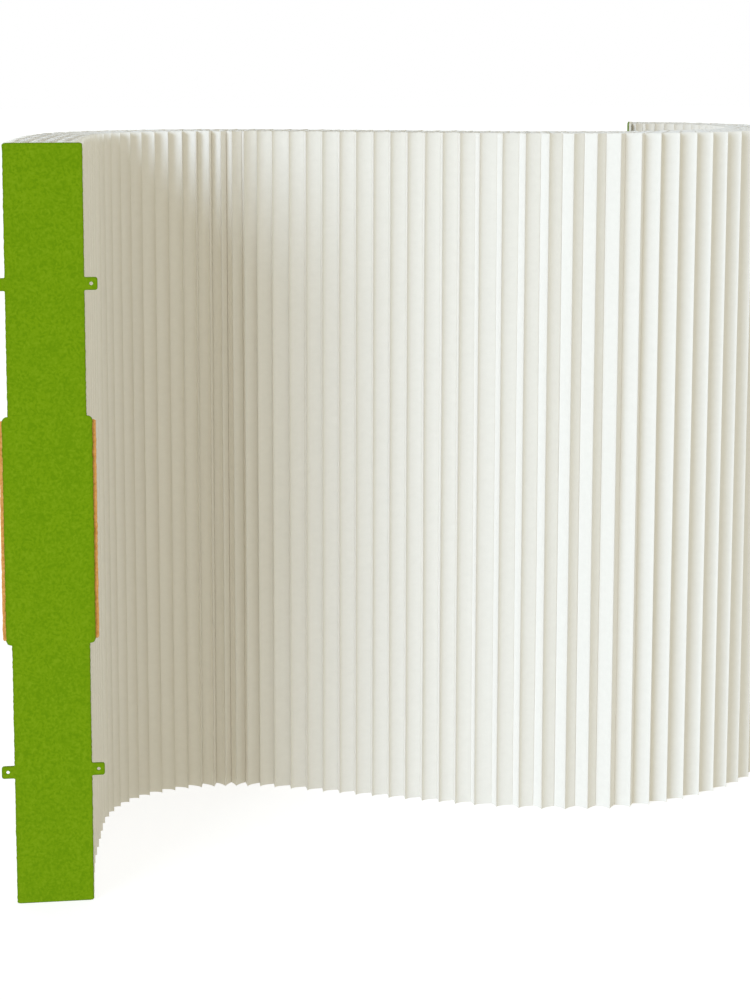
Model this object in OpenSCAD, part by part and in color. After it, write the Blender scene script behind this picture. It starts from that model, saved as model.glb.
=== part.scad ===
// Pleated paper screen. A free-standing wall of zigzag paper sheets, glued to each other in
// turn so that they open into a honeycomb, stands between two end panels. Each end panel is a
// stiff board with a felt face, a felt grip strip behind it, and four tie tabs with holes.
//
// Seen from above, the wall leaves the near end panel along +Y. Its path is a chain of runs,
// each with its own pleat pitch and its own bend. A positive bend turns to the right.
// The origin is on the floor, in the middle of the near end board. Sizes are in millimetres.

/* [Wall] */
// Height of the wall and of both end panels
wall_h = 1500; // [700:10:2400]
// Thickness of the wall from face to face, which is also the width of the end panels
wall_t = 150; // [100:5:250]

/* [Paper] */
// Rows of closed cells through the thickness of the wall
cell_rows = 3; // [2:1:5]
// Thickness of a paper sheet, measured along the wall
paper_t = 0.3; // [0.2:0.05:1]
// Thickness of the glue line between two sheets
glue_t = 0.2; // [0.1:0.05:0.4]
// Width of the flat bands along which two sheets are glued
band_w = 3; // [1:0.5:6]
// Pleats in each group of sheets
group_pleats = 3; // [2:1:4]

/* [Near run] */
// Pleat pitch of the run behind the near end panel, on the middle line of the wall
near_pitch = 40; // [20:0.5:50]
// Bend of that run, in degrees
near_bend = 6; // [-40:1:40]

/* [Tight corner] */
// Pleat pitch of the tight first part of the corner
tight_pitch = 40.5; // [30:0.5:50]
// Bend of the tight part of the corner, in degrees
tight_bend = 59; // [20:1:75]

/* [Wide corner] */
// Pleat pitch of the wide second part of the corner
wide_pitch = 38; // [25:0.5:50]
// Bend of the wide part of the corner, in degrees
wide_bend = 44; // [10:1:70]

/* [Front run] */
// Pleat pitch of the straight front run
front_pitch = 38; // [20:0.5:50]

/* [Open run] */
// Pleat pitch of the run that is pulled furthest open
open_pitch = 44; // [25:0.5:50]
// Bend of that run, in degrees
open_bend = -17; // [-40:1:40]

/* [Shoulder] */
// Pleat pitch of the shoulder, before the wall turns back
shoulder_pitch = 38; // [25:0.5:50]
// Bend of the shoulder, in degrees
shoulder_bend = -38; // [-60:1:-10]

/* [Far curl] */
// Pleat pitch of the curl that ends at the far end panel
curl_pitch = 35; // [25:0.5:50]
// Bend of the curl, in degrees
curl_bend = -128; // [-150:1:-60]

/* [End panels] */
// Thickness of the stiff end board
board_t = 6; // [5:0.5:15]
// Thickness of the felt face and of the tie tabs
felt_t = 4; // [2:0.5:8]
// Corner radius of the end board and the felt face
panel_r = 5; // [1:0.5:20]
// Height of the wide middle of the felt face
wing_h = 450; // [100:5:600]
// How far the wide middle stands out past the edge of the panel
wing_out = 11; // [4:0.5:30]
// Corner radius of the wide middle
wing_r = 9; // [1:0.5:12]

/* [Grip strip] */
// Height of the grip strip
grip_h = 435; // [80:5:600]
// How far the grip strip stands out past the edge of the panel
grip_out = 17.5; // [5:0.5:40]
// Thickness of the grip strip
grip_t = 3; // [1:0.5:4]
// Corner radius of the grip strip
grip_r = 6; // [1:0.5:20]
// Play between the grip strip and its channel in the board
grip_play = 0.3; // [0.1:0.1:1]

/* [Tie tabs] */
// Height of the middle of the lower tabs, and depth of the upper ones below the top
tab_inset = 269; // [30:1:300]
// How far a tab reaches past the edge of the panel
tab_out = 25; // [18:0.5:60]
// Height of a tab
tab_h = 25; // [14:0.5:60]
// Radius of the outer corners of a tab
tab_r = 5; // [1:0.5:6]
// Distance from the edge of the panel to the middle of a tie hole
hole_out = 13; // [8:0.5:14]
// Radius of a tie hole
hole_r = 3.5; // [1.5:0.25:4]
// Gap of the crease between the felt face and a tab
crease_gap = 0.3; // [0.1:0.1:1]

/* [Hidden] */
$fn = 48;

// Each run: its number of pleat groups, its pleat pitch and its bend
runs = [
    [3, near_pitch, near_bend],
    [2, tight_pitch, tight_bend],
    [3, wide_pitch, wide_bend],
    [4, front_pitch, 0],
    [2, open_pitch, open_bend],
    [3, shoulder_pitch, shoulder_bend],
    [6, curl_pitch, curl_bend]
];
// A pleat is two sheets, so a group holds twice as many sheets as pleats
group_sheets = 2 * group_pleats;
// A cell is two flanks deep, and a sheet has a glue line at each end of every flank
flanks = 2 * cell_rows;
flank_w = wall_t / flanks;

// Length along the wall and turn of every sheet, in order
steps = [
    for (run = runs)
        let (sheets = run[0] * group_sheets)
        for (i = [1:sheets]) [run[1] / 2, run[2] / sheets]
];

// The glue plane that follows plane p: its middle [x, y] and its heading, clockwise from +Y
function next_plane(p, step) =
    let (mid = p[2] + step[1] / 2)
    [p[0] + step[0] * sin(mid), p[1] + step[0] * cos(mid), p[2] + step[1]];

// Every glue plane, from the back of the near end board to the back of the far one
planes = [
    for (
        i = 0, p = [0, board_t / 2, 0];
        i <= len(steps);
        p = next_plane(p, steps[min(i, len(steps) - 1)]), i = i + 1
    ) p
];
last_plane = planes[len(planes) - 1];

// The point that lies across to the right of the middle of plane p, and along the wall past it
function on_plane(p, across, along) = [
    p[0] + across * cos(p[2]) + along * sin(p[2]),
    p[1] - across * sin(p[2]) + along * cos(p[2])
];

// The two edges, across the wall, of the flat band at glue line j
function band(j) =
    let (middle = j * flank_w - wall_t / 2)
    [
        max(middle - band_w / 2, -wall_t / 2) + (j == flanks ? -band_w / 2 : 0),
        min(middle + band_w / 2, wall_t / 2) + (j == 0 ? band_w / 2 : 0)
    ];

// One side of sheet i, between glue planes i and i + 1. Even glue lines lie on odd planes, so
// the sheet zigzags. near_side is 1 for the side towards the near end and 0 for the other.
function sheet_side(i, near_side) = [
    for (j = [0:flanks])
        let (at_near = (i + j) % 2 == 1)
        let (depth = at_near == (near_side == 1) ? glue_t / 2 : glue_t / 2 + paper_t)
        let (plane = planes[at_near ? i : i + 1])
        for (across = band(j)) on_plane(plane, across, at_near ? depth : -depth)
];

function reversed(list) = [for (i = [len(list) - 1:-1:0]) list[i]];

// ---- Paper ----

// One sheet of paper, folded into a zigzag and as tall as the wall
module paper_sheet(i) {
    linear_extrude(wall_h) polygon(concat(sheet_side(i, 1), reversed(sheet_side(i, 0))));
}

// One group of pleats: its sheets, each a piece of its own
module paper_pleats(group) {
    first = (group - 1) * group_sheets;
    color("#f3f4ee") for (i = [first:first + group_sheets - 1]) paper_sheet(i);
}

// ---- End panels, drawn at the near end with the wall behind them on +Y ----

// Moves an end panel to the far end of the wall and turns it to face out there
module at_far_end() {
    foot = on_plane(last_plane, 0, board_t / 2);
    translate([foot[0], foot[1], 0]) rotate([0, 0, 180 - last_plane[2]]) children();
}

// Rectangle with round corners, centred
module rounded_rect(w, h, r) {
    square([w - 2 * r, h], center = true);
    square([w, h - 2 * r], center = true);
    for (x = [-1, 1], y = [-1, 1]) translate([x * (w / 2 - r), y * (h / 2 - r)]) circle(r);
}

// Stands a flat outline up, centred on the height of the wall, from y back to y - thickness
module upright(y, thickness) {
    translate([0, y, wall_h / 2]) rotate([90, 0, 0]) linear_extrude(thickness) children();
}

module end_board() {
    channel_t = grip_t + grip_play;
    color("#c9b48a") difference() {
        upright(board_t / 2, board_t) rounded_rect(wall_t, wall_h, panel_r);
        translate([0, channel_t / 2 - board_t / 2, wall_h / 2])
            cube([2 * wall_t, channel_t, grip_h + 2 * grip_play], center = true);
        // The mouth of the channel, so that no skin is left on the front of the board
        translate([0, -board_t / 2, wall_h / 2])
            cube([2 * wall_t, grip_t, grip_h + 2 * grip_play], center = true);
    }
}

module felt_face() {
    color("#6e9611") upright(-board_t / 2, felt_t) {
        rounded_rect(wall_t, wall_h, panel_r);
        rounded_rect(wall_t + 2 * wing_out, wing_h, wing_r);
    }
}

module grip_strip() {
    color("#d79b59") upright(grip_t - board_t / 2, grip_t)
        rounded_rect(wall_t + 2 * grip_out, grip_h, grip_r);
}

// One tie tab that points along +X. Its crease, the round root that it turns on, is at x = 0,
// past the edge of the panel by the crease gap and the radius of the root.
crease_out = crease_gap + felt_t / 2;
module tie_tab() {
    length = tab_out - crease_out;
    difference() {
        union() {
            cylinder(r = felt_t / 2, h = tab_h, center = true);
            rotate([90, 0, 0]) linear_extrude(felt_t, center = true) {
                translate([0, -tab_h / 2]) square([length - tab_r, tab_h]);
                translate([0, tab_r - tab_h / 2]) square([length, tab_h - 2 * tab_r]);
                for (z = [-1, 1]) translate([length - tab_r, z * (tab_h / 2 - tab_r)]) circle(tab_r);
            }
        }
        translate([hole_out - crease_out, 0, 0]) rotate([90, 0, 0])
            cylinder(r = hole_r, h = 2 * felt_t, center = true);
    }
}

// The upper and lower tab on one side: -1 is left and 1 is right, seen from outside the end
module tab_pair(side) {
    color("#6e9611") for (z = [tab_inset, wall_h - tab_inset])
        translate([side * (wall_t / 2 + crease_out), -(board_t + felt_t) / 2, z])
            rotate([0, 0, side < 0 ? 180 : 0]) tie_tab();
}

end_board();  // end_board_near
felt_face();  // felt_face_near
grip_strip();  // grip_strip_near
tab_pair(-1);  // tabs_left_near
tab_pair(1);  // tabs_right_near
at_far_end() end_board();  // end_board_far
at_far_end() felt_face();  // felt_face_far
at_far_end() grip_strip();  // grip_strip_far
at_far_end() tab_pair(-1);  // tabs_left_far
at_far_end() tab_pair(1);  // tabs_right_far
paper_pleats(1);  // paper_pleats_01
paper_pleats(2);  // paper_pleats_02
paper_pleats(3);  // paper_pleats_03
paper_pleats(4);  // paper_pleats_04
paper_pleats(5);  // paper_pleats_05
paper_pleats(6);  // paper_pleats_06
paper_pleats(7);  // paper_pleats_07
paper_pleats(8);  // paper_pleats_08
paper_pleats(9);  // paper_pleats_09
paper_pleats(10);  // paper_pleats_10
paper_pleats(11);  // paper_pleats_11
paper_pleats(12);  // paper_pleats_12
paper_pleats(13);  // paper_pleats_13
paper_pleats(14);  // paper_pleats_14
paper_pleats(15);  // paper_pleats_15
paper_pleats(16);  // paper_pleats_16
paper_pleats(17);  // paper_pleats_17
paper_pleats(18);  // paper_pleats_18
paper_pleats(19);  // paper_pleats_19
paper_pleats(20);  // paper_pleats_20
paper_pleats(21);  // paper_pleats_21
paper_pleats(22);  // paper_pleats_22
paper_pleats(23);  // paper_pleats_23
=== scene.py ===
"""The looks of a pleated paper screen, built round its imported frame. Sizes are in metres.

A wall of zigzag paper sheets, glued to each other in turn, stands between two end panels. Seen
from above, the wall leaves the near panel along +Y. Its path is a chain of glue planes: each
plane has a middle and a heading, clockwise from +Y, and a sheet zigzags between two of them.
"""

import math

import bpy
import numpy as np
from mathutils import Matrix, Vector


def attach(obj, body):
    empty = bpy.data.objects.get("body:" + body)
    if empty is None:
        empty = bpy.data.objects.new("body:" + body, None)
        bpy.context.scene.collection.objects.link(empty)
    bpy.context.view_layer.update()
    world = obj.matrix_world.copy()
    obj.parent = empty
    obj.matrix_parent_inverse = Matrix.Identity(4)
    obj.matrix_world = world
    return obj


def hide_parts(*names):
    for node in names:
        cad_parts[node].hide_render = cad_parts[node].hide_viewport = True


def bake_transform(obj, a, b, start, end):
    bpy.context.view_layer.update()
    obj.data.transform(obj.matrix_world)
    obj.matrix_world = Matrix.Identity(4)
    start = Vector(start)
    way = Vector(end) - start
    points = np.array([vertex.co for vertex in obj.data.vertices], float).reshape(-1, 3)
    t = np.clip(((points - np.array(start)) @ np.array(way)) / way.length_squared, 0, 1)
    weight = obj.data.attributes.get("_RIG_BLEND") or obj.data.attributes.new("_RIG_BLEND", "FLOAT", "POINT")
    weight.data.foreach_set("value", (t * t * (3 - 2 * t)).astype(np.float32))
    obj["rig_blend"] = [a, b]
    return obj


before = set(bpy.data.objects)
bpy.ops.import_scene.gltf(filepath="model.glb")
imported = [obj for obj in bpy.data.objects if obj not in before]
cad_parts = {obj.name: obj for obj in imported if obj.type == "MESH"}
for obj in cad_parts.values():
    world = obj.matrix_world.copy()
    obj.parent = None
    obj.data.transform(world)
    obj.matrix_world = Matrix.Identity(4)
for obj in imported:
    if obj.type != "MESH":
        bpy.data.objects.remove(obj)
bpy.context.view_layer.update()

# ---- Wall, as in the part ----
WALL_H = 1.500
WALL_T = 0.150
FLANKS = 6  # a sheet crosses the wall in this many flanks
PAPER_T = 0.0003
GLUE_T = 0.0002
BAND_W = 0.003
GROUP_SHEETS = 6
BOARD_T = 0.006
# Each run of the wall: its groups of sheets, its pleat pitch and its bend in degrees
RUNS = (
    (3, 0.0400, 6),
    (2, 0.0405, 59),
    (3, 0.0380, 44),
    (4, 0.0380, 0),
    (2, 0.0440, -17),
    (3, 0.0380, -38),
    (6, 0.0350, -128),
)
GROUPS = sum(run[0] for run in RUNS)

# ---- How the paper differs from a perfect fold ----
OUTER_STEPS = 13  # steps across a flank that shows
INNER_STEPS = 3  # steps across a flank inside the wall
ROWS = 33  # rows of points up a sheet
RIDGE_BAND = 0.0006  # how far the two sheets of a pleat lie flat together at its ridge
RIDGE_ROUND = 0.24  # how far a ridge is rounded, as a share of the flank's depth
VALLEY_ROUND = 0.08  # how far a valley closes to a narrow gap, as a share of the same
FLARE = 2.0  # how much flatter a flank lies beside its valley than below its ridge
INNER_EASE = 0.35  # how far an inner flank eases into its glued bands
LEAN_MOST = 0.0148  # how far the ridges of the outer pleats lean along the wall at most
LEAN_FACING = 184  # they stand straight where the right face looks this way, clockwise from +Y
LEAN_SPREAD = 10.5  # degrees from there over which they come to lean
LEAN_CURL = 2.0  # how strongly a leaning flank curls over towards its ridge
LEAN_RUN_IN = 6  # glue planes from an end board over which they come to lean
LEFT_LEAN = 0.5  # share of the lean that the left face has
FLANK_L = 0.0315  # length of an outer flank, which keeps it as the ridge leans and sinks
SINK_MOST = 0.0065  # how far a ridge sinks at most
SWAY = 0.0006  # how far a fold wanders along the wall
STRAY = 0.0004  # how far an outer fold stands proud or sinks back
WAVE_TURNS = (0, 1, 2.3)  # half turns of each slow wave over the height of the wall
TOP_UNEVEN = 0.0006  # how far the top edges of the sheets differ
PAPER_SEED = 11

# ---- End panels, as in the part ----
FELT_T = 0.004
PANEL_R = 0.005
WING_H = 0.450
WING_OUT = 0.011
WING_R = 0.009
GRIP_H = 0.435
GRIP_OUT = 0.0175
GRIP_T = 0.003
GRIP_R = 0.006
TAB_INSET = 0.269
TAB_OUT = 0.025
TAB_H = 0.025
TAB_R = 0.005
HOLE_OUT = 0.013
HOLE_R = 0.0035
CREASE_GAP = 0.0003

# ---- How the felt was cut ----
CUT_ROUND = 0.0008  # radius along a cut edge
CUT_JITTER = 0.0004  # how far a cut edge strays
CUT_STEP = 0.003  # distance between the rows of points up a felt piece
EDGE_STEPS = 3  # steps round a felt piece's edge, from its side to its face
FACE_POINTS = 17  # points across its face
CORNER_STEPS = 8  # steps round a corner of its outline
JITTER_POWER = 8  # how fast the jitter dies out from the cut edge to the middle
MARK_POWER = 80  # how fast the painted shade of the cut edge does
FELT_SEED = 5

# ---- How the tie tabs were cut ----
TAB_RAYS = 96  # rays from the tie hole to the outline
TAB_RINGS = 10  # rings of points on a face of the tab
TAB_EDGE_POINTS = 6  # points round its edge and round its hole's edge, between the faces
TAB_CORNER_STEPS = 6  # steps round an outer corner or the hollow at a root
TAB_FILLET = 0.002  # radius of the hollow at each root
TAB_OVERLAP = 0.001  # how far a root reaches in over the panel's edge
TAB_THIN = 0.00002  # the tab's faces lie this far inside those of the felt face
TAB_MARK_POWER = 6  # how fast the painted shade of its cut edge dies out towards the hole
OUTLINE_FINE = 40  # points between two corners of the outline that the rays look up

# ---- Mesh edges and grain ----
SHARP_FROM = 28  # degrees between two faces from which their edge is sharp
STEP_LENGTH = 0.02  # about how far a flank goes along the wall
SHEET_APART = 0.1  # how far the grain of a sheet lies from that of the next one
SIDES_APART = 0.03  # how far the grain of its back lies from that of its front
PAPER_FIBRE = 0.003  # length of a fibre in the paper
FELT_CLOUD = 0.014  # the same for the felt's clouds
FELT_FIBRE = 0.013  # and for its single fibres
BOARD_FIBRE = 0.004  # length of a fibre in the board


def surface(name, points, faces, material, grain):
    """A mesh piece of closed shells. grain gives every point its place on the flat material, in metres."""
    mesh = bpy.data.meshes.new(name)
    mesh.from_pydata(points.reshape(-1, 3), [], faces.reshape(-1, faces.shape[-1]))
    mesh.shade_smooth()
    mesh.set_sharp_from_angle(angle=math.radians(SHARP_FROM))
    place = mesh.attributes.new("grain", "FLOAT_VECTOR", "POINT")
    place.data.foreach_set("vector", grain.reshape(-1).astype(np.float32))
    mesh.materials.append(material)
    piece = bpy.data.objects.new(name, mesh)
    bpy.context.scene.collection.objects.link(piece)
    return piece


def closed_grid(rows, columns, wrap_rows=False):
    """Quads of a grid of points numbered row by row, whose last column joins its first. Its
    last row joins its first as well if it wraps its rows."""
    row = np.arange(rows if wrap_rows else rows - 1)[:, None]
    column = np.arange(columns)[None, :]
    after_row, after_column = (row + 1) % rows, (column + 1) % columns
    corners = [
        row * columns + column,
        row * columns + after_column,
        after_row * columns + after_column,
        after_row * columns + column,
    ]
    return np.stack(np.broadcast_arrays(*corners), -1).reshape(-1, 4)


# ---- The path of the wall ----
def glue_planes():
    """Middle x and y, and heading, of every glue plane. Each step turns by its run's bend over
    its sheets, and goes half a pitch along the heading half way through that turn."""
    sheets = [groups * GROUP_SHEETS for groups, _, _ in RUNS]
    step = np.repeat([pitch / 2 for _, pitch, _ in RUNS], sheets)
    turn = np.repeat([math.radians(run[2]) / n for run, n in zip(RUNS, sheets)], sheets)
    heading = np.concatenate([[0], np.cumsum(turn)])
    halfway = heading[:-1] + turn / 2
    x = np.concatenate([[0], np.cumsum(step * np.sin(halfway))])
    y = np.concatenate([[0], np.cumsum(step * np.cos(halfway))]) + BOARD_T / 2
    return x, y, heading


PLANE_X, PLANE_Y, HEADING = glue_planes()


def waves(random, shape, size, heights):
    """Slow waves up the wall: for each entry of shape, the sum of one cosine of height for
    each of WAVE_TURNS, whose start and size are drawn at random. The more turns it has, the
    smaller it is."""
    total = np.zeros((*shape, len(heights)))
    for turns in WAVE_TURNS:
        phase = random.uniform(0, 2 * np.pi, shape)[..., None]
        weight = random.normal(0, size / (1 + turns), shape)[..., None]
        total += weight * np.cos(np.pi * turns * heights / WALL_H + phase)
    return total


HEIGHTS = np.linspace(0, WALL_H, ROWS)


def fold_errors():
    """How far every fold strays along the wall and across it: [plane, glue line, row]. The two
    planes against the end boards are straight, and only the outer folds stray across."""
    random = np.random.default_rng(PAPER_SEED)
    shape = (len(HEADING), FLANKS + 1)
    along = waves(random, shape, SWAY, HEIGHTS).clip(-2 * SWAY, 2 * SWAY)
    across = waves(random, shape, STRAY, HEIGHTS).clip(-2 * STRAY, 2 * STRAY)
    along[[0, -1]] = 0
    across[[0, -1]] = 0
    across[:, 1:-1] = 0
    return along, across


def pleat_lean():
    """How far the ridge on every plane leans ahead along the wall: a hyperbolic tangent of the
    angle between the way the right face looks there and LEAN_FACING."""
    facing = np.degrees(HEADING) + 90
    plane = np.arange(len(HEADING))
    run_in = (np.minimum(plane, plane[::-1]) / LEAN_RUN_IN).clip(0, 1)
    return LEAN_MOST * run_in * np.tanh((LEAN_FACING - facing) / LEAN_SPREAD)


def ridge_sink(side, lean):
    """How far the ridge on every plane sinks towards the middle of the wall, on the right (1) or
    the left (-1) face. The flanks keep their length, so the square of a ridge's rise over its
    valleys is that of the flank less those of half the valleys' distance and of the lean."""
    flank_w = WALL_T / FLANKS
    deep = side * (WALL_T / 2 - flank_w)
    x = PLANE_X + deep * np.cos(HEADING)
    y = PLANE_Y - deep * np.sin(HEADING)
    half = np.hypot(x[2:] - x[:-2], y[2:] - y[:-2]) / 2
    rise = np.sqrt((FLANK_L**2 - half**2 - lean[1:-1] ** 2).clip(0))
    sink = np.zeros(len(HEADING))
    sink[1:-1] = (flank_w - rise).clip(0, SINK_MOST)
    return sink


FOLD_ALONG, FOLD_ACROSS = fold_errors()
RIDGE_LEAN = pleat_lean()
FOLD_ACROSS[:, 0] += ridge_sink(-1, LEFT_LEAN * RIDGE_LEAN)[:, None]
FOLD_ACROSS[:, -1] -= ridge_sink(1, RIDGE_LEAN)[:, None]


# ---- Paper ----
def outer_share(t):
    """Share of the step along the wall at share t of an outer flank's depth, from its valley to
    its ridge: a hyperbola leaves the valley's glued band edgeways, and the part of the step
    still left is a power of a second one, which flares out low and is round at the ridge."""
    rise = np.hypot(t, VALLEY_ROUND) - VALLEY_ROUND
    rise = rise / (math.hypot(1, VALLEY_ROUND) - VALLEY_ROUND)
    left = np.sqrt((1 - rise + RIDGE_ROUND) ** 2 - RIDGE_ROUND**2)
    return 1 - (left / math.sqrt(1 + 2 * RIDGE_ROUND)) ** FLARE


def sheet_section():
    """The section of a sheet, from one face of the wall to the other, as arrays over its points:
    its place across the wall, the glue line behind it, its share of the way to the next glue
    line, the share of the step along the wall that this makes, and its share of its ridge's
    lean. A flat band lies at each glue line. Between bands an outer flank follows outer_share,
    with its points close together near both ends, and an inner one eases as a smoothstep. The
    share of the lean is one less a power of the way left to the ridge."""
    across, line, part, eased, leaning = [], [], [], [], []
    for j in range(FLANKS + 1):
        middle = j * WALL_T / FLANKS - WALL_T / 2
        low, high = middle - BAND_W / 2, middle + BAND_W / 2
        if j == 0:
            low, high = middle, middle + RIDGE_BAND
        if j == FLANKS:
            low, high = middle - RIDGE_BAND, middle
        if across:
            outer = j in (1, FLANKS)
            steps = OUTER_STEPS if outer else INNER_STEPS
            t = np.arange(1, steps) / steps
            if outer:
                t = (1 - np.cos(np.pi * t)) / 2
            inner_share = (1 - INNER_EASE) * t + INNER_EASE * t * t * (3 - 2 * t)
            share = {1: 1 - outer_share(1 - t), FLANKS: outer_share(t)}.get(j, inner_share)
            lean = {1: LEFT_LEAN * (1 - t**LEAN_CURL), FLANKS: 1 - (1 - t) ** LEAN_CURL}
            across += list(across[-1] + t * (low - across[-1]))
            line += [j - 1] * len(t)
            part += list(t)
            eased += list(share)
            leaning += list(lean.get(j, 0 * t))
        across += [low, high]
        line += [j, j]
        part += [0, 0]
        eased += [0, 0]
        leaning += [{0: LEFT_LEAN, FLANKS: 1.0}.get(j, 0.0)] * 2
    return [np.array(values) for values in (across, line, part, eased, leaning)]


ACROSS, LINE, PART, EASED, LEANING = sheet_section()


def paper_faces(points):
    """Quads of one closed sheet whose points are numbered [side, section point, row]: its two
    sides, then the four narrow edges between them."""
    number = np.arange(2 * points * ROWS).reshape(2, points, ROWS)
    near, far = number

    def strip(a, b):
        return np.stack([a[:-1], a[1:], b[1:], b[:-1]], -1)

    sides = [
        np.stack([s[:-1, :-1], s[1:, :-1], s[1:, 1:], s[:-1, 1:]], -1).reshape(-1, 4)
        for s in (near, far)
    ]
    edges = [
        strip(near[:, 0], far[:, 0])[:, ::-1],
        strip(near[:, -1], far[:, -1]),
        strip(near[0], far[0]),
        strip(near[-1], far[-1])[:, ::-1],
    ]
    return np.concatenate([sides[0], sides[1][:, ::-1], *edges])


def on_plane(plane, line, along):
    """Places of section points on glue planes: the middle of a plane, plus across to the right
    of it and along the wall from it, with how far the fold at that glue line strays."""
    right = ACROSS[None, :, None] + FOLD_ACROSS[plane, line]
    ahead = FOLD_ALONG[plane, line] + along
    sine, cosine = np.sin(HEADING[plane])[..., None], np.cos(HEADING[plane])[..., None]
    x = PLANE_X[plane][..., None] + right * cosine + ahead * sine
    y = PLANE_Y[plane][..., None] - right * sine + ahead * cosine
    return np.stack([x, y], -1)


def sheet_points(sheet, random):
    """Points of the sheets whose numbers the column holds, as [sheet, side, section point, row],
    and the share of the step to its far plane that every section point has made. Sheet i lies
    between planes i and i + 1. Glue line j is at plane i where i + j is odd, and at plane i + 1
    where it is even. A point of a flank is the mean of its two planes' places for it, weighted
    by that share. Its paper is half the paper's thickness to each side."""
    starts_near = (sheet + LINE) % 2 == 1
    share = np.where(starts_near, EASED, 1 - EASED)
    share = np.where(PART == 0, np.where(starts_near, 0, 1), share)
    next_line = np.minimum(LINE + (PART > 0), FLANKS)
    near_line = np.where(starts_near | (PART == 0), LINE, next_line)
    far_line = np.where(starts_near & (PART > 0), next_line, LINE)
    offset = (GLUE_T + PAPER_T) / 2
    near_place = on_plane(sheet, near_line, offset)
    far_place = on_plane(sheet + 1, far_line, -offset)
    weight = share[..., None, None]
    middle = (1 - weight) * near_place + weight * far_place
    turn = (1 - share) * HEADING[sheet] + share * HEADING[sheet + 1]
    along = np.stack([np.sin(turn), np.cos(turn)], -1)[:, :, None, :]
    ridge = sheet + (sheet + 1) % 2
    middle = middle + along * (LEANING * RIDGE_LEAN[ridge])[..., None, None]
    flat = np.stack([middle - along * PAPER_T / 2, middle + along * PAPER_T / 2], 1)
    top = 1 - random.uniform(0, TOP_UNEVEN, (len(sheet), 1, 1, 1)) / WALL_H
    z = np.broadcast_to(HEIGHTS * top, flat.shape[:-1])
    return np.concatenate([flat, z[..., None]], -1), share


def paper_grain(points, sheet):
    """The place of every point on the flat paper, with each side of a sheet cut elsewhere."""
    step_across = np.diff(ACROSS, prepend=ACROSS[0])
    step_along = np.diff(EASED, prepend=0) * STEP_LENGTH
    run = np.cumsum(np.hypot(step_across, step_along))
    grain = np.empty_like(points)
    grain[..., 0] = run[None, None, :, None]
    grain[..., 1] = points[..., 2]
    sides = np.array([0, SIDES_APART])[None, :, None, None]
    grain[..., 2] = sheet[:, :, None, None] * SHEET_APART + sides
    return grain


def paper_group(group, material):
    """Six sheets of the wall as one piece, each a closed shell of its own."""
    first = (group - 1) * GROUP_SHEETS
    sheet = first + np.arange(GROUP_SHEETS)[:, None]
    points, share = sheet_points(sheet, np.random.default_rng(PAPER_SEED + group))
    size = 2 * len(ACROSS) * ROWS
    faces = paper_faces(len(ACROSS))[None] + size * np.arange(GROUP_SHEETS)[:, None, None]
    name = f"paper_folds_{group:02d}"
    piece = surface(name, points, faces, material, paper_grain(points, sheet))
    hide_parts(f"paper_pleats_{group:02d}")
    motion = (np.arange(GROUP_SHEETS)[:, None] + share) / GROUP_SHEETS
    motion = np.broadcast_to(motion[:, None, :, None], points.shape[:-1])
    bodies = (body_after(group - 1), body_after(group))
    fold_between(piece, *bodies, plane_middle(first), plane_middle(first + GROUP_SHEETS), motion)
    return piece


def body_after(group):
    """The name of the body that follows that many groups of sheets."""
    if group == 0:
        return "near_end"
    return "far_end" if group == GROUPS else f"fold_{group:02d}"


def plane_middle(plane):
    """The point half way up the middle of a glue plane."""
    return (PLANE_X[plane], PLANE_Y[plane], WALL_H / 2)


def fold_between(piece, near_body, far_body, start, end, motion):
    """The piece bends between two bodies. Each point then takes its own share of the motion, so
    that all its glue planes open and close by the same amount."""
    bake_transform(piece, near_body, far_body, start=start, end=end)
    shares = piece.data.attributes["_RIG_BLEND"].data
    shares.foreach_set("value", motion.reshape(-1).astype(np.float32))


# ---- End panels, drawn at the near end with the wall behind them on +Y ----
FAR_HEADING = HEADING[-1]


def placed(points, far):
    """Points of the near panel, or the same ones moved to the far end of the wall and turned to
    face out there: half a turn less the wall's last heading, about the foot of the far board."""
    if not far:
        return points
    turn = math.pi - FAR_HEADING
    foot_x = PLANE_X[-1] + BOARD_T / 2 * math.sin(FAR_HEADING)
    foot_y = PLANE_Y[-1] + BOARD_T / 2 * math.cos(FAR_HEADING)
    x, y, z = np.moveaxis(points, -1, 0)
    return np.stack(
        [
            foot_x + x * math.cos(turn) - y * math.sin(turn),
            foot_y + x * math.sin(turn) + y * math.cos(turn),
            z,
        ],
        -1,
    )


def arc(steps):
    """Sines and cosines of a quarter turn, from 0 to 90 degrees."""
    angle = np.linspace(0, np.pi / 2, steps + 1)
    return np.sin(angle), np.cos(angle)


def half_outline(half_w, height, corner_r, wing):
    """Half widths and heights of the lower half of an upright outline with round corners. A wing
    (half height, reach, corner radius) adds a wider middle, with a hollow fillet at its root."""
    s, c = arc(CORNER_STEPS)
    width = [half_w - corner_r + corner_r * s]
    level = [corner_r - corner_r * c]
    if wing:
        wing_half, reach, wing_r = wing
        root = reach - wing_r
        foot = height / 2 - wing_half
        straight = np.arange(corner_r + CUT_STEP, foot - root, CUT_STEP)
        width += [np.full(len(straight), half_w), half_w + root - root * c]
        level += [straight, foot - root + root * s]
        width.append(half_w + root + wing_r * s[1:])
        level.append(foot + wing_r - wing_r * c[1:])
    straight = np.arange(level[-1][-1] + CUT_STEP, height / 2, CUT_STEP)
    width.append(np.full(len(straight), width[-1][-1]))
    level.append(straight)
    return np.concatenate(width), np.concatenate(level)


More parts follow.
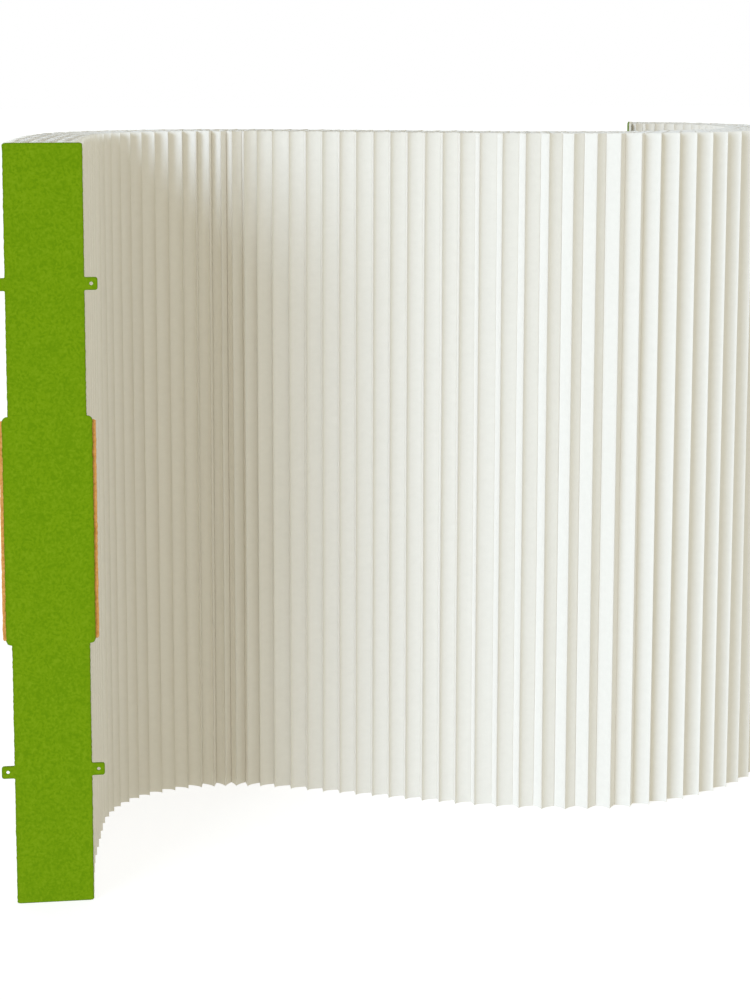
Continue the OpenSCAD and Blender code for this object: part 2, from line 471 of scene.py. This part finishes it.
def slab_rows(half_w, height, corner_r, wing):
    """Half width, height and inset of every row of points up a piece of felt. The rows between
    its ends follow the outline, and the ends are rounded over by drawing the section in."""
    width, level = half_outline(half_w, height, corner_r, wing)
    width = np.concatenate([width, width[::-1]])
    level = np.concatenate([level, height - level[::-1]])
    s, c = arc(EDGE_STEPS)
    drawn = CUT_ROUND * (1 - s[:-1])
    end = CUT_ROUND * (1 - c[:-1])
    end_width = np.full(EDGE_STEPS, width[0])
    width = np.concatenate([end_width, width, end_width])
    rise = np.concatenate([end, level, height - end[::-1]])
    between = slice(EDGE_STEPS, -EDGE_STEPS)
    rise[between] = rise[between].clip(CUT_ROUND, height - CUT_ROUND)
    inset = np.concatenate([drawn, np.zeros(len(level)), drawn[::-1]])
    return width - inset, rise, inset


def slab_ring():
    """The section of a piece of felt as a ring of points, front first: the share of the half
    width at which each lies, and how far it is round the cut edge, outwards and backwards, as
    shares of the edge's radius."""
    s, c = arc(EDGE_STEPS)
    face = np.sin(np.linspace(-np.pi / 2, np.pi / 2, FACE_POINTS))
    flat_x = np.concatenate([np.full(EDGE_STEPS, -1), face, np.full(EDGE_STEPS, 1)])
    round_x = np.concatenate([-s[:0:-1], face * 0, s[1:]])
    round_y = np.concatenate([c[:0:-1], face * 0 + 1, c[1:]])
    return (
        np.concatenate([flat_x, flat_x[::-1]]),
        np.concatenate([round_x, round_x[::-1]]),
        np.concatenate([-round_y, round_y[::-1]]),
    )


def felt_slab(name, far, half_w, height, corner_r, front, thick, wing, slot, material, seed, tabbed):
    """A flat piece of felt, upright and centred on the height of the wall. Its section is a
    rectangle with round corners, whose width follows the outline up the piece. Both side edges
    stray at random. Where it is tabbed, its edge is not marked as cut beside the tie tabs."""
    width, rise, inset = slab_rows(half_w, height, corner_r, wing)
    ring_flat, ring_round, ring_depth = slab_ring()
    random = np.random.default_rng(seed)
    stray = random.normal(0, CUT_JITTER, (2, len(rise)))
    stray = (stray + np.roll(stray, 1, 1)) / 2
    side = np.where(ring_flat[None, :] < 0, stray[0][:, None], stray[1][:, None])
    reach = width[:, None] - CUT_ROUND + side * np.abs(ring_flat)[None, :] ** JITTER_POWER
    x = ring_flat * reach + CUT_ROUND * ring_round
    deep = (thick / 2 - CUT_ROUND - inset)[:, None] * np.sign(ring_depth) + CUT_ROUND * ring_depth
    y = front + thick / 2 + deep
    bottom = (WALL_H - height) / 2
    z = np.broadcast_to((bottom + rise)[:, None], x.shape)
    points = np.stack([x, y, z], -1)

    rows, columns = x.shape
    i = np.arange(columns // 2 - 1)
    cap = np.stack([i, columns - 1 - i, columns - 2 - i, i + 1], -1)
    top_cap = cap[:, ::-1] + (rows - 1) * columns
    faces = np.concatenate([closed_grid(rows, columns), cap, top_cap])
    piece = surface(name, placed(points, far), faces, material, points)

    # painted shade: 1 at the cut edges and ends, where the felt is darkened towards its edge_shade colour
    edge = np.abs(ring_flat)[None, :] ** MARK_POWER * np.ones((rows, 1))
    at_end = (rise < 2 * CUT_ROUND) | (rise > height - 2 * CUT_ROUND)
    edge = np.maximum(edge, at_end[:, None])
    if tabbed:
        from_end = np.minimum(rise, height - rise)
        edge = edge * (np.abs(from_end - TAB_INSET) > TAB_H / 2)[:, None]
    mark_edge(piece, edge)
    return piece


def mark_edge(piece, edge):
    """Writes how near every point is to a cut edge, from 0 to 1, as the mask of the felt's painted edge
    shade.
    """
    layer = piece.data.attributes.new("cut_edge", "FLOAT", "POINT")
    layer.data.foreach_set("value", edge.reshape(-1).astype(np.float32))


def tab_outline(angles):
    """Distance from the tie hole to the edge of a tab, at those angles. The outline starts on
    the panel's edge, has a hollow fillet at each root and two round outer corners."""
    s, c = arc(TAB_CORNER_STEPS)
    top = TAB_H / 2
    x = np.concatenate(
        [
            [-TAB_OVERLAP, 0],
            TAB_FILLET - TAB_FILLET * c[1:],
            TAB_OUT - TAB_R + TAB_R * s,
        ]
    )
    z = np.concatenate(
        [
            [top + TAB_FILLET, top + TAB_FILLET],
            top + TAB_FILLET - TAB_FILLET * s[1:],
            top - TAB_R + TAB_R * c,
        ]
    )
    x = np.concatenate([x, x[::-1]]) - HOLE_OUT
    z = np.concatenate([z, -z[::-1]])
    x = np.append(x, x[0])
    z = np.append(z, z[0])
    fine = np.linspace(0, len(x) - 1, OUTLINE_FINE * len(x))
    fine_x = np.interp(fine, np.arange(len(x)), x)
    fine_z = np.interp(fine, np.arange(len(z)), z)
    turn = np.arctan2(fine_z, fine_x)
    order = np.argsort(turn)
    return np.interp(angles, turn[order], np.hypot(fine_x, fine_z)[order], period=2 * np.pi)


def tie_tabs(name, node, far, side, body, panel_body, material):
    """The upper and lower tab on one side of a panel. Each is a ring round its tie hole: rays
    from the hole to the outline, carried round the felt's front, outer edge, back and bore."""
    angles = np.linspace(-np.pi, np.pi, TAB_RAYS, endpoint=False)
    reach = tab_outline(angles)
    share = np.linspace(0, 1, TAB_RINGS)
    half_turn = np.linspace(0, np.pi, TAB_EDGE_POINTS + 2)[1:-1]
    over = np.concatenate([share, half_turn * 0 + 1, share[::-1], half_turn * 0])
    flat_ring = np.zeros(TAB_RINGS)
    bulge = np.concatenate([flat_ring, np.sin(half_turn), flat_ring, -np.sin(half_turn)])
    turn_back = np.cos(half_turn)
    front = np.ones(TAB_RINGS)
    depth = np.concatenate([front, turn_back, -front, -turn_back])
    inner, outer = HOLE_R + CUT_ROUND, reach - CUT_ROUND
    radius = inner + (outer[:, None] - inner) * over + CUT_ROUND * bulge
    flat = FELT_T / 2 - CUT_ROUND - TAB_THIN
    y = -(BOARD_T + FELT_T) / 2 - depth * CUT_ROUND - np.sign(depth) * flat
    y = np.broadcast_to(y, radius.shape)
    x = WALL_T / 2 + HOLE_OUT + radius * np.cos(angles)[:, None]
    up = radius * np.sin(angles)[:, None]
    heights = (TAB_INSET, WALL_H - TAB_INSET)
    points = np.stack([np.stack([side * x, y, z + up], -1) for z in heights])
    one = closed_grid(TAB_RAYS, len(over), wrap_rows=True)
    one = one if side > 0 else one[:, ::-1]
    faces = np.concatenate([one, one + radius.size])
    piece = surface(name, placed(points, far), faces, material, points)
    # painted shade: the tab darkens towards its cut outer edge and fades out towards the hole
    edge = over**TAB_MARK_POWER * (x > WALL_T / 2 + CUT_ROUND)
    mark_edge(piece, np.stack([edge, edge]))
    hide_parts(node)
    crease_start, crease_end = WALL_T / 2, WALL_T / 2 + 2 * (CREASE_GAP + FELT_T / 2)
    middle = -(BOARD_T + FELT_T) / 2
    crease = [[side * out, middle, WALL_H / 2] for out in (crease_start, crease_end)]
    start, end = placed(np.array(crease), far)
    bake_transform(piece, panel_body, body, start=tuple(start), end=tuple(end))
    return piece


# ---- Materials ----
def add(tree, kind, inputs=None, **settings):
    """Adds a node of that kind with these settings, and fills or links its inputs."""
    made = tree.nodes.new(kind)
    for key, value in settings.items():
        setattr(made, key, value)
    for key, value in (inputs or {}).items():
        if isinstance(value, bpy.types.NodeSocket):
            tree.links.new(value, made.inputs[key])
        else:
            made.inputs[key].default_value = value
    return made


def mapped(tree, value, low, high, to_low=0.0, to_high=1.0):
    """A value carried from one range to another, held at both ends."""
    span = {"Value": value, "From Min": low, "From Max": high, "To Min": to_low, "To Max": to_high}
    return add(tree, "ShaderNodeMapRange", span).outputs["Result"]


def mixed(tree, factor, first, second, blend="MIX"):
    """Two colours mixed by a factor."""
    made = add(tree, "ShaderNodeMix", data_type="RGBA", blend_type=blend)
    for key, value in ((0, factor), (6, first), (7, second)):
        if isinstance(value, bpy.types.NodeSocket):
            tree.links.new(value, made.inputs[key])
        else:
            made.inputs[key].default_value = value
    return made.outputs[2]


def fibre_group():
    """Node group: pressed fibres. Clouds are soft patches a few centimetres over, Specks are
    single fibres, and Relief is the height of the surface. Size is the length of a fibre."""
    tree = bpy.data.node_groups.new("pressed_fibres", "ShaderNodeTree")
    face = tree.interface
    face.new_socket("Vector", in_out="INPUT", socket_type="NodeSocketVector")
    face.new_socket("Size", in_out="INPUT", socket_type="NodeSocketFloat")
    for name in ("Clouds", "Specks", "Relief"):
        face.new_socket(name, in_out="OUTPUT", socket_type="NodeSocketFloat")
    given = tree.nodes.new("NodeGroupInput")
    per_metre = add(tree, "ShaderNodeMath", {0: 1.0, 1: given.outputs["Size"]}, operation="DIVIDE")
    place = add(
        tree,
        "ShaderNodeVectorMath",
        {0: given.outputs["Vector"], 3: per_metre.outputs[0]},
        operation="SCALE",
    ).outputs[0]
    bent = add(tree, "ShaderNodeTexNoise", {"Vector": place, "Scale": 0.35, "Detail": 2.0})
    swirl = add(
        tree,
        "ShaderNodeVectorMath",
        {0: bent.outputs["Color"], 1: (1.5, 1.5, 1.5), 2: place},
        operation="MULTIPLY_ADD",
    ).outputs[0]
    cloud = add(
        tree,
        "ShaderNodeTexNoise",
        {"Vector": place, "Scale": 0.22, "Detail": 5.0, "Roughness": 0.62},
    ).outputs["Fac"]
    threads = []
    for stretch in ((1.2, 3.2, 2.0), (3.2, 1.4, 2.0), (2.3, 2.3, 2.3)):
        lain = add(
            tree, "ShaderNodeVectorMath", {0: swirl, 1: stretch}, operation="MULTIPLY"
        ).outputs[0]
        noise = add(tree, "ShaderNodeTexNoise", {"Vector": lain, "Scale": 1.0, "Detail": 1.5})
        threads.append(noise.outputs["Fac"])
    most = add(tree, "ShaderNodeMath", {0: threads[0], 1: threads[1]}, operation="MAXIMUM")
    both = add(tree, "ShaderNodeMath", {0: most.outputs[0], 1: threads[2]}, operation="ADD")
    relief = add(tree, "ShaderNodeMath", {0: both.outputs[0], 1: 0.5}, operation="MULTIPLY")
    out = tree.nodes.new("NodeGroupOutput")
    tree.links.new(mapped(tree, cloud, 0.3, 0.7), out.inputs["Clouds"])
    tree.links.new(mapped(tree, relief.outputs[0], 0.42, 0.66), out.inputs["Specks"])
    tree.links.new(relief.outputs[0], out.inputs["Relief"])
    return tree


FIBRES = fibre_group()


def new_material(name):
    """An empty material: its node tree and its shader."""
    material = bpy.data.materials.new(name)
    material.use_nodes = True
    tree = material.node_tree
    return material, tree, tree.nodes["Principled BSDF"]


def fibres(tree, size, vector):
    """The outputs of the pressed fibres, for fibres of that length."""
    made = add(tree, "ShaderNodeGroup", node_tree=FIBRES)
    made.inputs["Size"].default_value = size
    tree.links.new(vector, made.inputs["Vector"])
    return made.outputs


def paper_material():
    """White paper: faint clouds and fibres, a matt face and a fine grain."""
    material, tree, shader = new_material("white_paper")
    place = add(tree, "ShaderNodeAttribute", attribute_name="grain").outputs["Vector"]
    grain = fibres(tree, PAPER_FIBRE, place)
    cloudy = mixed(tree, grain["Clouds"], (0.877, 0.834, 0.752, 1), (0.903, 0.860, 0.778, 1))
    flecked = mixed(tree, grain["Specks"], (0.986, 0.986, 0.984, 1), (1.0, 1.0, 1.0, 1))
    colour = mixed(tree, 1.0, cloudy, flecked, "MULTIPLY")
    rough = mapped(tree, grain["Specks"], 0.0, 1.0, 0.62, 0.78)
    bump = add(
        tree, "ShaderNodeBump", {"Height": grain["Relief"], "Strength": 0.04, "Distance": 0.0006}
    )
    tree.links.new(colour, shader.inputs["Base Color"])
    tree.links.new(rough, shader.inputs["Roughness"])
    tree.links.new(bump.outputs[0], shader.inputs["Normal"])
    shader.inputs["Specular IOR Level"].default_value = 0.25
    return material


def felt_material(name, deep, dark, mid, light, edge_shade):
    """Pressed wool felt: mottled clouds, single lighter and darker fibres, a nap in the relief
    and painted shade darkening its cut edge, broken up by single fibres."""
    material, tree, shader = new_material(name)
    place = add(tree, "ShaderNodeAttribute", attribute_name="grain").outputs["Vector"]
    broad = fibres(tree, FELT_CLOUD, place)
    fine = fibres(tree, FELT_FIBRE, place)
    cloudy = mixed(tree, broad["Clouds"], dark, mid)
    flecked = mixed(tree, mapped(tree, fine["Specks"], 0.45, 1.0), cloudy, light)
    flecked = mixed(tree, mapped(tree, fine["Specks"], 0.05, 0.4), deep, flecked)
    # painted shade: the felt is darkened towards edge_shade near its cut edge, broken up by single fibres
    edge = add(tree, "ShaderNodeAttribute", attribute_name="cut_edge").outputs["Fac"]
    frayed = mapped(tree, fine["Specks"], 0.25, 0.75, 0.25, 1.0)
    edge_shade_mask = add(tree, "ShaderNodeMath", {0: edge, 1: frayed}, operation="MULTIPLY")
    colour = mixed(tree, edge_shade_mask.outputs[0], flecked, edge_shade)
    rough = mapped(tree, fine["Specks"], 0.0, 1.0, 0.86, 0.98)
    bump = add(
        tree, "ShaderNodeBump", {"Height": fine["Relief"], "Strength": 0.2, "Distance": 0.0012}
    )
    tree.links.new(colour, shader.inputs["Base Color"])
    tree.links.new(rough, shader.inputs["Roughness"])
    tree.links.new(bump.outputs[0], shader.inputs["Normal"])
    shader.inputs["Specular IOR Level"].default_value = 0.03
    shader.inputs["Sheen Weight"].default_value = 0.03
    return material


def board_material():
    """Pressed board: pale pulp with a few darker flecks."""
    material, tree, shader = new_material("pulp_board")
    place = add(tree, "ShaderNodeTexCoord").outputs["Object"]
    grain = fibres(tree, BOARD_FIBRE, place)
    cloudy = mixed(tree, grain["Clouds"], (0.74, 0.71, 0.61, 1), (0.83, 0.80, 0.71, 1))
    colour = mixed(tree, grain["Specks"], (0.66, 0.62, 0.51, 1), cloudy)
    bump = add(
        tree, "ShaderNodeBump", {"Height": grain["Relief"], "Strength": 0.3, "Distance": 0.0005}
    )
    tree.links.new(colour, shader.inputs["Base Color"])
    tree.links.new(mapped(tree, grain["Specks"], 0, 1, 0.7, 0.9), shader.inputs["Roughness"])
    tree.links.new(bump.outputs[0], shader.inputs["Normal"])
    return material


# ---- Building the screen ----
def build_panel(end, green, orange, board):
    """One end panel: its board keeps its shape, and felt pieces stand for the rest."""
    far = end == "far"
    body = f"{end}_end"
    seed = FELT_SEED + 10 * far
    front = -BOARD_T / 2 - FELT_T
    wing = (WING_H / 2, WING_OUT, WING_R)
    outline = (WALL_T / 2, WALL_H, PANEL_R, front, FELT_T, wing)
    face = felt_slab(f"felt_panel_{end}", far, *outline, "green_felt", green, seed, True)
    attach(face, body)
    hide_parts(f"felt_face_{end}")
    outline = (WALL_T / 2 + GRIP_OUT, GRIP_H, GRIP_R, -BOARD_T / 2, GRIP_T, None)
    grip = felt_slab(f"felt_grip_{end}", far, *outline, "grip_felt", orange, seed + 1, False)
    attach(grip, body)
    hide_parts(f"grip_strip_{end}")
    tabs = [
        tie_tabs(
            f"felt_tabs_{side}_{end}",
            f"tabs_{side}_{end}",
            far,
            sign,
            f"tabs_{end}_{side}",
            body,
            green,
        )
        for side, sign in (("left", -1), ("right", 1))
    ]
    rests = f"end_board_{end}"
    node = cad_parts[rests]
    node.data.materials.clear()
    node.data.materials.append(board)


# ---- Stage ----
CAMERA_AT = (0.203, -3.386, 1.65)
CAMERA_TURN = 6.32  # degrees to the right of +Y
CAMERA_PITCH = 6.18  # degrees down
CAMERA_LENS = 63.6
CAMERA_SHIFT = (0.029, -0.246)
KEY_FROM = (46.0, 16.0)  # degrees left of the front, and up
KEY_SOFT = 32.0  # degrees across
KEY_COLOUR = (0.365, 0.455, 0.614)
KEY_LEVEL = math.pi
FILL_COLOUR = (0.689, 0.689, 0.611, 1)
FLOOR_HALF = 60.0  # half the length of the floor's sides
FLOOR_GLOW = (1.3, 1.3, 1.3, 1)  # what is seen of the floor besides its shade
GLOW_SHARE = 0.6  # how much of the floor's look is glow


def add_camera():
    """The camera, level from side to side."""
    data = bpy.data.cameras.new("camera")
    data.lens = CAMERA_LENS
    data.shift_x, data.shift_y = CAMERA_SHIFT
    camera = bpy.data.objects.new("camera", data)
    camera.location = CAMERA_AT
    camera.rotation_euler = (math.radians(90 - CAMERA_PITCH), 0, math.radians(-CAMERA_TURN))
    bpy.context.scene.collection.objects.link(camera)
    bpy.context.scene.camera = camera


def seen_directly(tree):
    """1 for what the camera sees by itself, in gloss or through glass, and 0 for other light."""
    path = tree.nodes.new("ShaderNodeLightPath")
    first = add(
        tree,
        "ShaderNodeMath",
        {0: path.outputs["Is Camera Ray"], 1: path.outputs["Is Glossy Ray"]},
        operation="MAXIMUM",
    )
    return add(
        tree,
        "ShaderNodeMath",
        {0: first.outputs[0], 1: path.outputs["Is Transmission Ray"]},
        operation="MAXIMUM",
    ).outputs[0]


def add_light():
    """A soft key from the front left over an even, slightly warm fill. The fill's own colour is
    seen as white."""
    sun = bpy.data.lights.new("key", "SUN")
    sun.energy = KEY_LEVEL
    sun.angle = math.radians(KEY_SOFT)
    sun.color = KEY_COLOUR
    key = bpy.data.objects.new("key", sun)
    left, up = KEY_FROM
    key.rotation_euler = (math.radians(90 - up), 0, math.radians(-left))
    bpy.context.scene.collection.objects.link(key)
    world = bpy.data.worlds.new("studio")
    world.use_nodes = True
    bpy.context.scene.world = world
    tree = world.node_tree
    tree.nodes.clear()
    fill = add(tree, "ShaderNodeBackground", {"Color": FILL_COLOUR, "Strength": 1.0})
    white = add(tree, "ShaderNodeBackground", {"Color": (1, 1, 1, 1), "Strength": 1.0})
    both = add(
        tree,
        "ShaderNodeMixShader",
        {0: seen_directly(tree), 1: fill.outputs[0], 2: white.outputs[0]},
    )
    add(tree, "ShaderNodeOutputWorld", {"Surface": both.outputs[0]})


def add_floor():
    """A wide pale floor. Part of it glows: what the camera sees is white and keeps a soft
    shadow, and the object gets as much light from below as from around."""
    corners = FLOOR_HALF * np.array([[-1, -1, 0], [1, -1, 0], [1, 1, 0], [-1, 1, 0]])
    mesh = bpy.data.meshes.new("floor")
    mesh.from_pydata(corners, [], [[0, 1, 2, 3]])
    floor = bpy.data.objects.new("floor", mesh)
    bpy.context.scene.collection.objects.link(floor)
    material, tree, shader = new_material("pale_floor")
    shader.inputs["Base Color"].default_value = (0.88, 0.88, 0.88, 1)
    shader.inputs["Roughness"].default_value = 0.95
    shader.inputs["Specular IOR Level"].default_value = 0.0
    colour = mixed(tree, seen_directly(tree), FILL_COLOUR, FLOOR_GLOW)
    glow = add(tree, "ShaderNodeEmission", {"Color": colour, "Strength": 1.0})
    both = add(tree, "ShaderNodeMixShader", {0: GLOW_SHARE, 1: shader.outputs[0], 2: glow.outputs[0]})
    tree.links.new(both.outputs[0], tree.nodes["Material Output"].inputs["Surface"])
    mesh.materials.append(material)


GREEN = felt_material(
    "green_wool_felt",
    deep=(0.147, 0.280, 0.0020, 1),
    dark=(0.159, 0.295, 0.0025, 1),
    mid=(0.190, 0.328, 0.0032, 1),
    light=(0.206, 0.345, 0.0065, 1),
    # edge_shade: painted shade along the cut edge
    edge_shade=(0.125, 0.180, 0.0045, 1),
)
ORANGE = felt_material(
    "orange_wool_felt",
    deep=(0.66, 0.28, 0.07, 1),
    dark=(0.76, 0.34, 0.09, 1),
    mid=(0.84, 0.38, 0.11, 1),
    light=(0.90, 0.46, 0.16, 1),
    # edge_shade: painted shade along the cut edge
    edge_shade=(0.74, 0.34, 0.085, 1),
)
BOARD = board_material()
PAPER = paper_material()

for number in range(1, GROUPS + 1):
    paper_group(number, PAPER)
for end_name in ("near", "far"):
    build_panel(end_name, GREEN, ORANGE, BOARD)

add_camera()
add_light()
add_floor()
bpy.context.scene.view_settings.view_transform = "Standard"
